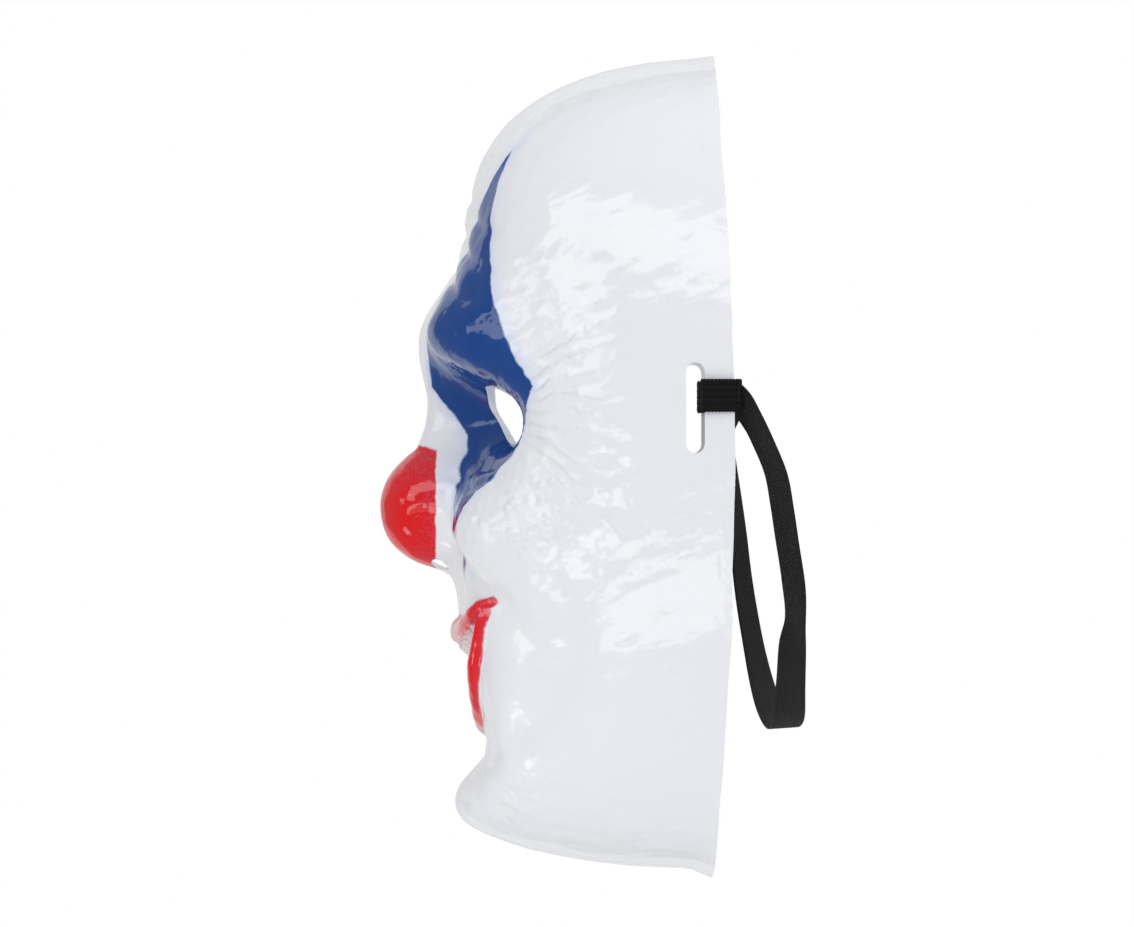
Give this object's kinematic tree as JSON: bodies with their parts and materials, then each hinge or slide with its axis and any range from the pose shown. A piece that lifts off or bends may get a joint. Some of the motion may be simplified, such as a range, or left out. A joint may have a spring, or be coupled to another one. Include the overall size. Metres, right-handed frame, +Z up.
{
  "type": "clown face mask with elastic strap",
  "caption": "Full-face moulded plastic clown mask with a round ball nose, open eyes, a toothy grin and a flat elastic strap looped through slots at its sides.",
  "frame": {"origin": "middle of the rear opening, on the rearmost line of the rim, where the wearer's face goes in", "axes": "+Z up towards the crown of the mask, +Y out of the rear opening towards the wearer, +X towards the wearer's left side; the face looks along -Y"},
  "size_m": [0.1752, 0.1326, 0.2568],
  "materials": {
    "painted_shell": "thin white vacuum-formed plastic with a wet gloss; sprayed blue diamonds over the eyes, red nose and lips, shaded teeth; plain white inside",
    "black_elastic": "matt black woven elastic, ribbed across, with sewn ends"
  },
  "bodies": {
    "root": {"mask_shell": "painted_shell", "elastic_strap": "black_elastic"}
  },
  "joints": []
}
